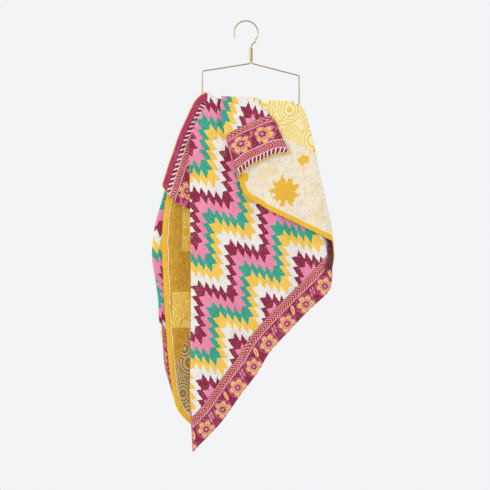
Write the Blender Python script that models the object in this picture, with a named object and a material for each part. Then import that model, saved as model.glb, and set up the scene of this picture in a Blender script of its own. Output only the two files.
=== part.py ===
"""A kantha quilt hung in pleats over the bottom bar of a brass wire hanger.

The frame is in metres with +Z up. The origin is the point under the top of the
hook that rests on a peg, +X runs to the right of the front view, and the front
faces -Y. The tables below are in millimetres: x, and the drop below the origin.
"""

import math

import bpy
import numpy as np

MM = 0.001

# Wire hanger
WIRE_RADIUS = 2.0
HOOK_RADIUS = 37.0
CORNER_RADIUS = 7.0
SLEEVE_RADIUS = 4.6
SLEEVE_TOP = 82.0
SLEEVE_LENGTH = 38.0
NECK_X = 14.5
NECK_RISE = 10.0
HOOK_CENTRE_X = -1.5
HOOK_START_ANGLE = -38.0
HOOK_END_ANGLE = 180.0
HOOK_STEPS = 26
HOOK_TIP = 16.0
NECK_BEND = ((0.0, 7.0), (13.0, 19.0))
NECK_BEND_RADIUS = 6.0
BAR = ((-137.0, 230.0), (-98.0, 244.0), (163.0, 259.0))
SHOULDER_LEFT = (-137.0, 154.0)
SHOULDER_RIGHT = (163.0, 168.0)
WIRE_RESOLUTION = 2
SLEEVE_SIDES = 20
SLEEVE_ROUNDING = 1.0

# Quilted cloth
CLOTH_THICKNESS = 2.4
GAP = 0.3
BAR_CLEARANCE = 0.5
BAR_WRAP = WIRE_RADIUS + BAR_CLEARANCE + CLOTH_THICKNESS / 2
LAYER_STEP = 3.6
OPENING_DROP = 55.0
FRONT_ROWS = 23
REAR_ROWS = 20
WRAP_ROWS = 7
FOLD_STEPS = 4
ROW_SPREAD = 1.2
HEM_DRAW = 2.5
SAG_FADE = 8.0
CURVE_STEPS = 12

# Lines that the sheet's five leaves share: x on the bar, then points down to the hem as (x, drop)
FRONT_LINES = {
    "flap_edge": (36, [(47, 266), (69, 290), (88, 313), (111, 366), (134, 411)]),
    "flap_fold": (-77, [
        (-80, 262), (-75, 300), (-64, 360), (-52, 406), (-40, 450), (-25, 480),
    ]),
    "turn_start": (-77, [
        (-80, 262), (-75, 300), (-64, 360), (-52, 406), (-40, 450), (-24, 500),
    ]),
    "turn_fold": (151, [
        (178, 276), (196, 339), (212, 406), (227, 488), (242, 552), (257, 620), (268, 680),
    ]),
    "face_fold": (151, [
        (178, 276), (196, 339), (212, 406), (227, 488), (242, 552), (257, 620), (269, 690),
        (270, 764),
    ]),
    "pleat_fold": (-119, [
        (-122, 262), (-135, 285), (-153, 308), (-165, 339), (-172, 370), (-175, 407),
        (-174, 490), (-173, 590), (-171, 740), (-170, 894), (-172, 1048), (-173, 1173), (-166, 1330),
    ]),
    "pleat_back": (-107, [(-103, 285), (-108, 335), (-114, 428), (-116, 521), (-108, 640)]),
    "corner_edge": (-126, [
        (-149, 248), (-171, 267), (-205, 339), (-227, 400), (-246, 456), (-263, 508),
    ]),
}
REAR_LINES = {
    "flap_edge": (36, [(50, 300), (62, 420), (58, 600), (40, 742)]),
    "flap_fold": (-77, [(-80, 300), (-72, 450), (-60, 640), (-44, 800)]),
    "turn_start": (-77, [(-80, 300), (-72, 450), (-60, 640), (-44, 800)]),
    "turn_fold": (151, [(172, 300), (184, 440), (186, 600), (150, 846)]),
    "face_fold": (151, [(172, 300), (184, 440), (186, 600), (150, 846)]),
    "pleat_fold": (-119, [
        (-150, 290), (-200, 400), (-246, 500), (-266, 565), (-284, 630), (-294, 720),
        (-286, 785), (-275, 858), (-272, 922), (-262, 994), (-254, 1074), (-240, 1124), (-225, 1172),
    ]),
    "pleat_back": (-107, [(-98, 300), (-90, 500), (-84, 760), (-90, 1010), (-104, 1190)]),
    "corner_edge": (-126, [
        (-158, 290), (-203, 400), (-236, 490), (-252, 560), (-260, 625), (-262, 710),
        (-257, 840), (-251, 942), (-243, 1048), (-236, 1106), (-226, 1170), (-212, 1210), (-178, 1248),
    ]),
}

# Hems between those lines, where they curve
FRONT_HEMS = {
    "flap": [(134, 411), (91, 414), (54, 430), (17, 446), (-13, 468), (-25, 480)],
    "turnback": [
        (-24, 500), (-14, 530), (6, 550), (36, 566), (73, 588), (130, 614), (186, 640), (268, 680),
    ],
    "face": [
        (270, 764), (268, 804), (257, 837), (194, 896), (141, 950), (73, 1024), (37, 1083),
        (-16, 1151), (-68, 1225), (-110, 1272), (-152, 1314), (-166, 1330),
    ],
    "pleat": [(-166, 1330), (-146, 1080), (-124, 830), (-108, 640)],
    "corner": [
        (-108, 640), (-140, 608), (-174, 583), (-192, 573), (-210, 565), (-233, 546), (-252, 525),
        (-263, 508),
    ],
}
REAR_HEMS = {
    "flap": [(40, 742), (10, 770), (-44, 800)],
    "turnback": [(-44, 800), (30, 832), (100, 850), (150, 846)],
    "face": [(150, 846), (60, 960), (-60, 1080), (-160, 1150), (-225, 1172)],
    "pleat": [(-225, 1172), (-180, 1215), (-140, 1215), (-104, 1190)],
    "corner": [(-104, 1190), (-130, 1250), (-155, 1256), (-178, 1248)],
}

# The leaves in order from the outermost: name, start line, end line, columns, layer on the bar
LEAVES = (
    ("flap", "flap_edge", "flap_fold", 7, 2.7),
    ("turnback", "turn_start", "turn_fold", 8, 1.6),
    ("face", "face_fold", "pleat_fold", 14, 2),
    ("pleat", "pleat_fold", "pleat_back", 6, 1),
    ("corner", "pleat_back", "corner_edge", 7, 0),
)
LEFT_FOLDS = ("flap_fold", "turn_start", "pleat_fold")
RIGHT_FOLDS = ("turn_fold", "face_fold", "pleat_back")
FACE_STEP_X = (-104.0, -80.0)

# Distance of each leaf from the hanger's plane, by drop below the bar
DEPTH_COLUMNS = ("below_bar", "flap", "turnback", "face", "pleat", "corner")
FRONT_DEPTHS = (
    (60, 29, 22, 15, 10, 5),
    (200, 46, 36, 24, 15, 7),
    (450, 50, 40, 27, 16, 8),
    (800, 50, 40, 24, 14, 8),
    (1110, 50, 40, 17, 10, 8),
)
REAR_DEPTHS = (
    (60, 29, 22, 15, 10, 5),
    (200, 42, 34, 25, 16, 8),
    (450, 48, 39, 29, 19, 9),
    (950, 48, 39, 27, 17, 9),
)

# Soft ridges that all leaves on one side share: x, lean, half_width, height, from_drop, to_drop
RIDGE_FADE_IN = 120.0
RIDGE_FADE_OUT = 150.0
RIDGE_LEFT_OVER = 0.3
FRONT_RIDGES = (
    (-110, -0.02, 34, 6, 120, 1000),
    (-35, 0.03, 30, 8, 160, 900),
    (62, 0.10, 34, 10, 180, 800),
    (190, 0.12, 30, 9, 140, 620),
)
REAR_RIDGES = (
    (-176, 0.00, 52, 12, 120, 930),
    (-40, 0.02, 36, 12, 100, 900),
    (90, 0.06, 34, 12, 100, 700),
)


def clear_scene():
    for item in list(bpy.data.objects):
        bpy.data.objects.remove(item)


def material(name, colour, roughness, metallic=0.0):
    made = bpy.data.materials.new(name)
    made.use_nodes = True
    shader = made.node_tree.nodes["Principled BSDF"]
    shader.inputs["Base Color"].default_value = (*colour, 1.0)
    shader.inputs["Roughness"].default_value = roughness
    shader.inputs["Metallic"].default_value = metallic
    made.diffuse_color = (*colour, 1.0)
    return made


def place(x, depth, drop):
    """A point in metres from x, distance behind the hanger's plane and drop in millimetres."""
    return (x * MM, depth * MM, -drop * MM)


def ease(value):
    """0 to 1 with level ends."""
    value = np.clip(value, 0.0, 1.0)
    return value * value * (3.0 - 2.0 * value)


def smooth_line(points, shares):
    """Points at shares of the length along a smooth curve through the given points."""
    points = np.array(points, float)
    if len(points) == 2:
        return points[0] + np.outer(shares, points[1] - points[0])
    padded = np.vstack([2 * points[0] - points[1], points, 2 * points[-1] - points[-2]])
    fine = []
    for before, start, end, after in zip(padded, padded[1:], padded[2:], padded[3:]):
        for t in np.linspace(0.0, 1.0, CURVE_STEPS, endpoint=False):
            fine.append(
                0.5 * (
                    2 * start
                    + (end - before) * t
                    + (2 * before - 5 * start + 4 * end - after) * t**2
                    + (3 * start - before - 3 * end + after) * t**3
                )
            )
    fine.append(points[-1])
    fine = np.array(fine)
    along = np.concatenate([[0.0], np.cumsum(np.linalg.norm(np.diff(fine, axis=0), axis=1))])
    wanted = np.asarray(shares) * along[-1]
    return np.column_stack([np.interp(wanted, along, fine[:, k]) for k in range(2)])


def bar_drop(x):
    """Drop of the bar's centre, which hangs askew and is bent down under the cloth."""
    return np.interp(x, [point[0] for point in BAR], [point[1] for point in BAR])


def line_points(line, shares):
    """Points at shares of the way down one of the lines that leaves share."""
    on_bar, below = line
    return smooth_line([(on_bar, bar_drop(on_bar)), *below], shares)


def bar_sag(first, last, across):
    """How far the bent bar lies below a straight line between two of its points."""
    chord = bar_drop(first) + across * (bar_drop(last) - bar_drop(first))
    return bar_drop(first + across * (last - first)) - chord


def bar_depth(leaf, layer, x):
    """Distance of a leaf's middle from the bar's centre, where it lies over the bar."""
    if leaf == "face":
        low, high = FACE_STEP_X
        layer = layer * (1.0 - ease((x - low) / (high - low)))
    return BAR_WRAP + layer * LAYER_STEP


def table_depth(table, leaf, below):
    """A leaf's depth from a table, eased from row to row."""
    column = DEPTH_COLUMNS.index(leaf)
    drops = [row[0] for row in table]
    depths = [row[column] for row in table]
    if below <= drops[0]:
        return depths[0]
    for low, high, first, second in zip(drops, drops[1:], depths, depths[1:]):
        if below <= high:
            return first + (second - first) * ease((below - low) / (high - low))
    return depths[-1]


def ridge_height(table, x, below):
    height = 0.0
    for at_x, lean, half_width, rise, top, bottom in table:
        across = (x - at_x - lean * below) / half_width
        kept = 1.0 - (1.0 - RIDGE_LEFT_OVER) * ease((below - bottom) / RIDGE_FADE_OUT)
        height += rise * math.exp(-across * across) * ease((below - top) / RIDGE_FADE_IN) * kept
    return height


def leaf_depth(side, leaf, layer, x, drop):
    """Distance of a leaf's middle from the hanger's plane at a point below the bar."""
    depths, ridges = (FRONT_DEPTHS, FRONT_RIDGES) if side == "front" else (REAR_DEPTHS, REAR_RIDGES)
    below = max(drop - bar_drop(x), 0.0)
    resting = bar_depth(leaf, layer, x)
    hanging = table_depth(depths, leaf, below) + ridge_height(ridges, x, below)
    return resting + (hanging - resting) * ease(below / OPENING_DROP)


def leaf_points(side, leaf, start, end, columns, share):
    """(x, drop) of a leaf's points across one row, at a share of the way from bar to hem."""
    lines, hems = (FRONT_LINES, FRONT_HEMS) if side == "front" else (REAR_LINES, REAR_HEMS)
    across = np.linspace(0.0, 1.0, columns)
    first = line_points(lines[start], [share])[0]
    last = line_points(lines[end], [share])[0]
    straight = first + np.outer(across, last - first)
    straight[:, 1] += bar_sag(lines[start][0], lines[end][0], across) * (1.0 - share) ** SAG_FADE
    hem = smooth_line(hems[leaf], across)
    flat_hem = hem[0] + np.outer(across, hem[-1] - hem[0])
    return straight + (hem - flat_hem) * share**HEM_DRAW


def turn_side(line):
    """Which way a fold line bulges: -1 to the left, 1 to the right, 0 on a free edge."""
    return (line in RIGHT_FOLDS) - (line in LEFT_FOLDS)


def row_points(side, share):
    """One row across the whole sheet: a list of (x, drop, distance from the hanger's plane)."""
    rows = []
    for leaf, start, end, columns, layer in LEAVES:
        flat = leaf_points(side, leaf, start, end, columns, share)
        rows.append([(x, drop, leaf_depth(side, leaf, layer, x, drop)) for x, drop in flat])
    radii = [abs(a[-1][2] - b[0][2]) / 2 for a, b in zip(rows, rows[1:])]
    made = []
    for number, (leaf, start, end, columns, layer) in enumerate(LEAVES):
        before = radii[number - 1] if number else 0.0
        after = radii[number] if number < len(radii) else 0.0
        across = np.linspace(0.0, 1.0, columns)
        shift = -turn_side(start) * before * (1 - across) - turn_side(end) * after * across
        made += [(x + push, drop, depth) for (x, drop, depth), push in zip(rows[number], shift)]
        if number < len(radii):
            made += fold_points(made[-1], rows[number + 1][0], turn_side(end), radii[number])
    return made


def fold_points(leaving, entering, bulge, radius):
    """The points round a fold, between the last of one leaf and the first of the next."""
    made = []
    for step in range(1, FOLD_STEPS):
        angle = math.pi * step / FOLD_STEPS
        share = (1 - math.cos(angle)) / 2
        drop = leaving[1] + (entering[1] - leaving[1]) * step / FOLD_STEPS
        x = leaving[0] + (entering[0] - bulge * radius - leaving[0]) * step / FOLD_STEPS
        depth = leaving[2] + (entering[2] - leaving[2]) * share
        made.append((x + bulge * radius * math.sin(angle), drop, depth))
    return made


def sheet_rows():
    """The rows of the sheet's middle surface, from the front hem over the bar to the rear hem."""
    rows = []
    for share in np.linspace(1.0, 0.0, FRONT_ROWS) ** ROW_SPREAD:
        rows.append([place(x, -depth, drop) for x, drop, depth in row_points("front", share)])
    for angle in np.linspace(0.0, math.pi, WRAP_ROWS + 2)[1:-1]:
        row = []
        for x, _, depth in row_points("front", 0.0):
            row.append(place(x, -depth * math.cos(angle), bar_drop(x) - depth * math.sin(angle)))
        rows.append(row)
    for share in np.linspace(0.0, 1.0, REAR_ROWS) ** ROW_SPREAD:
        rows.append([place(x, depth, drop) for x, drop, depth in row_points("rear", share)])
    return rows


def quilt():
    """The quilt as one closed sheet: front leaves, the turn over the bar and rear leaves."""
    rows = sheet_rows()
    width = len(rows[0])
    points = [point for row in rows for point in row]
    faces = []
    for r in range(len(rows) - 1):
        for c in range(width - 1):
            corner = r * width + c
            faces.append((corner, corner + width, corner + width + 1, corner + 1))
    mesh = bpy.data.meshes.new("quilt")
    mesh.from_pydata(points, [], faces)
    mesh.shade_smooth()
    made = bpy.data.objects.new("quilt", mesh)
    bpy.context.scene.collection.objects.link(made)
    thicken = made.modifiers.new("thickness", "SOLIDIFY")
    thicken.thickness = CLOTH_THICKNESS * MM
    thicken.offset = 0.0
    mesh.materials.append(material("quilted_cotton", (0.72, 0.36, 0.30), 0.9))
    return made


def rounded(corners, radius, steps=5):
    """A polyline with its inner corners turned on arcs of a radius."""
    made = [np.array(corners[0], float)]
    for before, corner, after in zip(corners, corners[1:], corners[2:]):
        corner = np.array(corner, float)
        back = np.array(before, float) - corner
        ahead = np.array(after, float) - corner
        back /= np.linalg.norm(back)
        ahead /= np.linalg.norm(ahead)
        half = math.acos(float(np.clip(back @ ahead, -1, 1))) / 2
        centre = corner + (back + ahead) / np.linalg.norm(back + ahead) * radius / math.sin(half)
        first = corner + back * radius / math.tan(half) - centre
        last = corner + ahead * radius / math.tan(half) - centre
        turn = math.atan2(first[0] * last[1] - first[1] * last[0], first @ last)
        for t in np.linspace(0.0, turn, steps):
            cos, sin = math.cos(t), math.sin(t)
            made.append(centre + np.array([first[0] * cos - first[1] * sin, first[0] * sin + first[1] * cos]))
    made.append(np.array(corners[-1], float))
    return made


def wire(name, route, finish):
    """Round wire along a route of (x, drop) points in the hanger's plane."""
    curve = bpy.data.curves.new(name, "CURVE")
    curve.dimensions = "3D"
    curve.bevel_depth = WIRE_RADIUS * MM
    curve.bevel_resolution = WIRE_RESOLUTION
    curve.use_fill_caps = True
    spline = curve.splines.new("POLY")
    spline.points.add(len(route) - 1)
    for point, (x, drop) in zip(spline.points, route):
        point.co = (*place(x, 0.0, drop), 1.0)
    made = bpy.data.objects.new(name, curve)
    bpy.context.scene.collection.objects.link(made)
    curve.materials.append(finish)
    return made


def hanger_frame(finish):
    """One wire: down from the sleeve, along the shoulders, the sides and the bar, and back."""
    low = SLEEVE_TOP + SLEEVE_LENGTH + GAP
    left, right = NECK_X - WIRE_RADIUS - GAP, NECK_X + WIRE_RADIUS + GAP
    corners = [
        (left, low), (left, low + NECK_RISE), SHOULDER_LEFT, *BAR,
        SHOULDER_RIGHT, (right, low + NECK_RISE), (right, low),
    ]
    return wire("hanger_frame", rounded(corners, CORNER_RADIUS), finish)


def hanger_hook(finish):
    """An open hook whose wire runs from the sleeve round the right side to a tip on the left."""
    top = SLEEVE_TOP - GAP
    centre = (HOOK_CENTRE_X, HOOK_RADIUS - WIRE_RADIUS)
    bend = [(NECK_X + x, top - rise) for x, rise in NECK_BEND]
    route = rounded([(NECK_X, top), *bend], NECK_BEND_RADIUS)
    for angle in np.radians(np.linspace(HOOK_START_ANGLE, HOOK_END_ANGLE, HOOK_STEPS)):
        route.append((centre[0] + HOOK_RADIUS * math.cos(angle), centre[1] - HOOK_RADIUS * math.sin(angle)))
    route.append((centre[0] - HOOK_RADIUS, centre[1] + HOOK_TIP))
    return wire("hanger_hook", route, finish)


def hanger_sleeve(finish):
    """The crimped sleeve that joins the hook to the two ends of the frame."""
    bpy.ops.mesh.primitive_cylinder_add(
        vertices=SLEEVE_SIDES, radius=SLEEVE_RADIUS * MM, depth=SLEEVE_LENGTH * MM,
        location=place(NECK_X, 0.0, SLEEVE_TOP + SLEEVE_LENGTH / 2),
    )
    made = bpy.context.object
    made.name = "hanger_sleeve"
    rounding = made.modifiers.new("rounding", "BEVEL")
    rounding.width = SLEEVE_ROUNDING * MM
    rounding.segments = 2
    made.data.materials.append(finish)
    made.data.shade_smooth()
    made.data.set_sharp_from_angle(angle=math.radians(40))
    return made


def main():
    clear_scene()
    brass = material("brass_wire", (0.72, 0.60, 0.36), 0.35, 1.0)
    hanger_frame(brass)
    hanger_hook(brass)
    hanger_sleeve(brass)
    quilt()


main()
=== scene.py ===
"""The looks of a kantha quilt hung in pleats over a brass wire hanger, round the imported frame.

Tables and shader formulas are in millimetres: x to the right of the hook and drop below it,
the same two directions as the frame's +X and -Z. place() turns them into metres.
"""

import math

import bpy
import numpy as np
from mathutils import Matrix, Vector


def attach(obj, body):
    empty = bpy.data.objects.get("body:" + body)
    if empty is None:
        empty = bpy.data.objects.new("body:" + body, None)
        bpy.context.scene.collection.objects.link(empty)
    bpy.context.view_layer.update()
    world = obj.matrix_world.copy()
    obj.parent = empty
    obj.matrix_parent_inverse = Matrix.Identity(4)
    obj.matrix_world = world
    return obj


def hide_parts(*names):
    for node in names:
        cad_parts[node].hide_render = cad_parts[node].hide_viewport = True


MM = 0.001

# Camera: straight on, with the photograph's frame 1.519 m wide at the hanger's plane
VIEW_WIDTH = 1.519
VIEW_CENTRE = (-4.65, 692.85)
CAMERA_DISTANCE = 4.0
SENSOR = 36.0

# Floor and lights, in metres and watts: name, place, size and power of each light
FLOOR_DROP = 2.0
FLOOR_RADIUS = 2.0
FLOOR_THICKNESS = 0.02
FLOOR_SIDES = 96
FLOOR_SHADE = (0.8, 0.8, 0.79, 1.0)
ROOM_SHADE = (0.97, 0.98, 1.0, 1.0)
ROOM_STRENGTH = 0.92
LIGHTS = (
    ("key", (-2.6, -2.0, 0.9), 1.4, 34.0),
    ("fill", (2.4, -2.2, -0.2), 1.8, 3.0),
    ("back", (0.6, 2.8, 0.6), 1.6, 10.0),
)

# Wire hanger
WIRE_RADIUS = 2.0
BAR = ((-137.0, 230.0), (-98.0, 244.0), (163.0, 259.0))

# Quilted cloth
CLOTH_THICKNESS = 2.4
BAR_CLEARANCE = 0.5
BAR_WRAP = WIRE_RADIUS + BAR_CLEARANCE + CLOTH_THICKNESS / 2
LAYER_STEP = 3.6
OPENING_DROP = 55.0
FRONT_ROWS = 92
REAR_ROWS = 74
HEM_SHARES = (0.0, 0.0012, 0.0035, 0.007, 0.0115)
WRAP_ROWS = 9
FOLD_STEPS = 8
ROW_SPREAD = 1.2
HEM_DRAW = 2.5
SAG_FADE = 8.0
PEAK_X = (-131.0, -104.0)
PEAK_RISE = 10.0
PEAK_FADE = 70.0
CURVE_STEPS = 12
NEAREST_STEPS = 90
LINE_OVERRUN = 6
TINY = 1e-12

# Lines that the sheet's five leaves share: x on the bar, then points down to the hem as (x, drop)
FRONT_LINES = {
    "flap_edge": (36, [(47, 266), (69, 290), (88, 313), (111, 366), (134, 411)]),
    "flap_fold": (-77, [
        (-80, 262), (-75, 300), (-64, 360), (-52, 406), (-40, 450), (-25, 480),
    ]),
    "turn_start": (-77, [
        (-80, 262), (-75, 300), (-64, 360), (-52, 406), (-40, 450), (-24, 500),
    ]),
    "turn_fold": (151, [
        (168, 263), (180, 281), (196, 339), (212, 406), (227, 488), (242, 552), (257, 620), (268, 680),
    ]),
    "face_fold": (151, [
        (168, 263), (180, 281), (196, 339), (212, 406), (227, 488), (242, 552), (257, 620), (269, 690),
        (270, 764),
    ]),
    "pleat_fold": (-119, [
        (-122, 262), (-135, 285), (-153, 308), (-165, 339), (-172, 370), (-175, 407),
        (-174, 490), (-173, 590), (-171, 740), (-170, 894), (-172, 1048), (-173, 1173), (-166, 1330),
    ]),
    "pleat_back": (-107, [(-103, 285), (-108, 335), (-114, 428), (-116, 521), (-108, 640)]),
    "corner_edge": (-131, [
        (-146, 240), (-169, 266), (-205, 339), (-227, 400), (-246, 456), (-263, 508),
    ]),
}
REAR_LINES = {
    "flap_edge": (36, [(50, 300), (62, 420), (58, 600), (40, 742)]),
    "flap_fold": (-77, [(-80, 300), (-72, 450), (-60, 640), (-44, 800)]),
    "turn_start": (-77, [(-80, 300), (-72, 450), (-60, 640), (-44, 800)]),
    "turn_fold": (151, [(172, 300), (184, 440), (186, 600), (150, 846)]),
    "face_fold": (151, [(172, 300), (184, 440), (186, 600), (150, 846)]),
    "pleat_fold": (-119, [
        (-150, 290), (-200, 400), (-246, 500), (-266, 565), (-284, 630), (-294, 720),
        (-286, 785), (-275, 858), (-272, 922), (-262, 994), (-254, 1074), (-240, 1124), (-225, 1172),
    ]),
    "pleat_back": (-107, [(-98, 300), (-90, 500), (-84, 760), (-90, 1010), (-104, 1190)]),
    "corner_edge": (-131, [
        (-158, 290), (-203, 400), (-236, 490), (-252, 560), (-260, 625), (-262, 710),
        (-257, 840), (-251, 942), (-243, 1048), (-236, 1106), (-226, 1170), (-212, 1210), (-178, 1248),
    ]),
}

# Hems between those lines, where they curve
FRONT_HEMS = {
    "flap": [(134, 411), (91, 414), (54, 430), (17, 446), (-13, 468), (-25, 480)],
    "turnback": [
        (-24, 500), (-14, 530), (6, 550), (36, 566), (73, 588), (130, 614), (186, 640), (268, 680),
    ],
    "face": [
        (270, 764), (268, 804), (257, 837), (194, 896), (141, 950), (73, 1024), (37, 1083),
        (-16, 1151), (-68, 1225), (-110, 1272), (-152, 1314), (-166, 1330),
    ],
    "pleat": [(-166, 1330), (-146, 1080), (-124, 830), (-108, 640)],
    "corner": [
        (-108, 640), (-140, 608), (-174, 583), (-192, 573), (-210, 565), (-233, 546), (-252, 525),
        (-263, 508),
    ],
}
REAR_HEMS = {
    "flap": [(40, 742), (10, 770), (-44, 800)],
    "turnback": [(-44, 800), (30, 832), (100, 850), (150, 846)],
    "face": [(150, 846), (60, 960), (-60, 1080), (-160, 1150), (-225, 1172)],
    "pleat": [(-225, 1172), (-180, 1215), (-140, 1215), (-104, 1190)],
    "corner": [(-104, 1190), (-130, 1250), (-155, 1256), (-178, 1248)],
}

LINES = {"front": FRONT_LINES, "rear": REAR_LINES}
HEMS = {"front": FRONT_HEMS, "rear": REAR_HEMS}

# The leaves in order from the outermost: name, start line, end line, columns, layer on the bar
LEAVES = (
    ("flap", "flap_edge", "flap_fold", 26, 2.7),
    ("turnback", "turn_start", "turn_fold", 36, 1.6),
    ("face", "face_fold", "pleat_fold", 60, 2),
    ("pleat", "pleat_fold", "pleat_back", 20, 1),
    ("corner", "pleat_back", "corner_edge", 22, 0),
)
LEFT_FOLDS = ("flap_fold", "turn_start", "pleat_fold")
RIGHT_FOLDS = ("turn_fold", "face_fold", "pleat_back")
FACE_STEP_X = (-104.0, -80.0)

# Distance of each leaf from the hanger's plane, by drop below the bar
DEPTH_COLUMNS = ("below_bar", "flap", "turnback", "face", "pleat", "corner")
FRONT_DEPTHS = (
    (60, 29, 22, 15, 10, 5),
    (200, 46, 36, 24, 15, 7),
    (450, 50, 40, 27, 16, 8),
    (800, 50, 40, 24, 14, 8),
    (1110, 50, 40, 17, 10, 8),
)
REAR_DEPTHS = (
    (60, 29, 22, 15, 10, 5),
    (200, 42, 34, 25, 16, 8),
    (450, 48, 39, 29, 19, 9),
    (950, 48, 39, 27, 17, 9),
)

# How ridges fade in and out down the cloth, and what is left of them below
RIDGE_FADE_IN = 120.0
RIDGE_FADE_OUT = 150.0
RIDGE_LEFT_OVER = 0.3

# Soft ridges that all leaves on one side share: x, lean, half_width, height, from_drop, to_drop
FRONT_RIDGES = (
    (-110, -0.02, 34, 6, 120, 1000),
    (-35, 0.03, 30, 8, 160, 900),
    (62, 0.10, 34, 10, 180, 800),
    (190, 0.12, 30, 9, 140, 620),
)
REAR_RIDGES = (
    (-176, 0.00, 52, 12, 120, 930),
    (-40, 0.02, 36, 12, 100, 900),
    (90, 0.06, 34, 12, 100, 700),
)
DEPTHS = {"front": FRONT_DEPTHS, "rear": REAR_DEPTHS}
RIDGES = {"front": FRONT_RIDGES, "rear": REAR_RIDGES}

# Print of the face: strips that run down to the right, each with the five colours in turn
ACROSS_STRIPS = (0.817, -0.577)
ALONG_STRIPS = (0.577, 0.817)
STRIP_WIDTH = 15.5
STRIP_ORIGIN = 446.3
STRIPS_A_FLIGHT = 5
NEAR_STEP = 18.0
NEAR_SLOPE = -1.0
STEEP_STEP = -27.0
STEEP_SLOPE = 0.45
PERIOD_STEP = -45.0
BAND_START = 334.2
STEEP_START = 522.0
BAND_LENGTH = 39.9

# How each leaf's print is turned: degrees anticlockwise, the point it is turned about, and a shift
PRINT_TURNS = {
    "flap": (-15.0, (5.6, 249), (-173.6, 259.5)),
    "face": (0.0, (0, 0), (0, 0)),
    "corner": (14.0, (-190, 400), (0, 0)),
}

# Leaves whose print runs on round a fold from the leaf before
PRINT_OF = {"turnback": "flap", "pleat": "face"}

# Border of the face, by distance from its outer side
TICKS_FROM = 2.5
TICKS_TO = 15.0
OUTER_CHEVRONS_TO = 38.0
FLOWERS_TO = 97.0
INNER_CHEVRONS_TO = 120.0
BORDER_TO = 123.0
PALE_LINE = 2.0
RIM_WIDTH = 2.6
TICK_SPACING = 16.0
TICK_SHARE = 0.3
TICK_SLANT = 0.7
CHEVRON_PITCH = 17.6
CHEVRON_SLANT = 0.9

# Flowers of the border, measured from the middle of each
FLOWER_FROM = 64.0
FLOWER_SPACING = 83.0
PETALS = 6
PETAL_AT = 18.2
PETAL_EYE_AT = 15.6
PETAL_EYE_RADIUS = 2.6
ARC_RADIUS = 30.0
ARC_HALF_WIDTH = 1.3
BASE_LINE_INSET = 5.0
BASE_LINE = FLOWERS_TO - FLOWER_FROM - BASE_LINE_INSET
BASE_LINE_HALF_WIDTH = 0.8

# Leaves between the flowers, measured from the gap's middle
LEAF_FROM = 16.0
LEAF_LEAN = 0.45
LEAF_HALF_LENGTH = 12.0
LEAF_HALF_WIDTH = 5.6
RIB_HALF_WIDTH = 0.9
RIB_SHARE = 0.5
PAIR_APART = 5.0
PAIR_HALF_WIDTH = 3.6
LOW_LEAF_APART = 17.0
LOW_LEAF_LEAN = 0.3
LOW_LEAF_DEPTH = 12.0
LOW_LEAF_HALF_WIDTH = 3.0
LOW_LEAF_HALF_LENGTH = 9.0

# Where in the border each leaf's hem lies, and how far its pattern is shifted along
BORDER_STARTS = {"flap": 0.0, "turnback": 44.0, "face": 44.0, "pleat": 44.0, "corner": -19.0}
BORDER_SHIFTS = {"flap": 118.4, "turnback": 0.0, "face": 22.0, "pleat": 0.0, "corner": -35.0}

# The flap's border is spread: distances from its hem, the places there, and its stretch along
FLAP_BORDER = ((0.0, 75.0, 121.0, 500.0), (0.0, 64.0, 123.0, 502.0))
FLAP_BORDER_STRETCH = 1.26

# The border's outer side on leaves where it doesn't follow their hem
BORDER_LINES = {
    ("front", "face"): [
        (345, 735), (257, 837), (194, 896), (141, 950), (73, 1024), (37, 1083), (-16, 1151),
        (-68, 1225), (-110, 1272), (-152, 1314), (-200, 1368),
    ],
    ("rear", "pleat"): [(-380, 895), (-339, 969), (-222, 1183), (-180, 1260)],
}

# Reverse side: blossoms as place, size, petals and how deep the petals are cut
BLOSSOMS = (
    ((119, 528), 47.0, 9, 0.36), ((178, 432), 17.0, 5, 0.15), ((-8, 485), 14.0, 4, 0.1),
    ((60, 830), 45.0, 8, 0.36), ((-60, 990), 16.0, 5, 0.15), ((176, 742), 16.0, 5, 0.15),
)
STAMEN_CELLS = 0.11
STAMEN_RADIUS = 0.2
STAMEN_SHARE = 0.6
YARN_SHARE = 0.6
STAIN_SHARE = 0.3

# Seam between the fans and the cream on the turned-back leaf
PATCH_SEAM_SLOPE = 0.5
PATCH_SEAM_DROP = 303.0
PATCH_SEAM_WAVER = 4.0

# Fans: cells in each millimetre, rings in radians for each cell, and the dashes that break them
CELL_RANDOMNESS = 0.9
FAN_CELLS = 0.02
FAN_SQUASH = 0.85
FAN_RINGS = 48.0
ACROSS_DASHES = (0.8, 0.6)
DASH_PITCH = 4.4
DASH_LEFT_OVER = 0.4

# Patches of fans on the hanging reverse, as top, bottom and left side, and its lower corner, where the fan
# print is painted dark ochre as painted shade
FAN_PATCHES = ((560.0, 712.0, -199.0), (838.0, 950.0, -230.0))
SHADED_CORNER_SLOPE = 2.4
SHADED_CORNER_DROP = 541.0
SHADED_CORNER_RIGHT = -160.0
MUSTARD_WEAR = 0.6

# Hem of the reverse and the seam line beside it
HEM_WIDTH = 15.0
HEM_WAVER = 9.0
SEAM_AT = 18.0
SEAM_HALF_WIDTH = 1.1

# Running stitch: direction across its rows, then row pitch, stitch length and thread width
ACROSS_ROWS = (0.788, 0.616)
PRINT_STITCH = (8.0, 4.5, 1.6)
REVERSE_STITCH = (7.0, 4.0, 1.4)
ROW_STAGGER = 0.37
THREAD_SHARE = 0.55
PRINT_THREAD_SHARE = 0.08
REVERSE_THREAD_SHARE = 0.22
SPECKLE_SHARE = 0.32

# Bump of the cloth: shares of what raises it, and its distance in metres
PUCKER_STRETCH = 0.4
BUMP_HEIGHTS = (("pillow", 0.6), ("pucker", 1.7), ("slack", 2.6), ("thread", 0.35), ("weave", 0.15))
BUMP_DISTANCE = 0.0026
BUMP_STRENGTH = 0.85

# Print that bleeds and wears
BLEED_REACH = 4.5
BLEED_ALONG = 0.4
PALE_WEAR = 0.08
DARK_WEAR = 0.16
TARNISH_SHARE = 0.35

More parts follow.
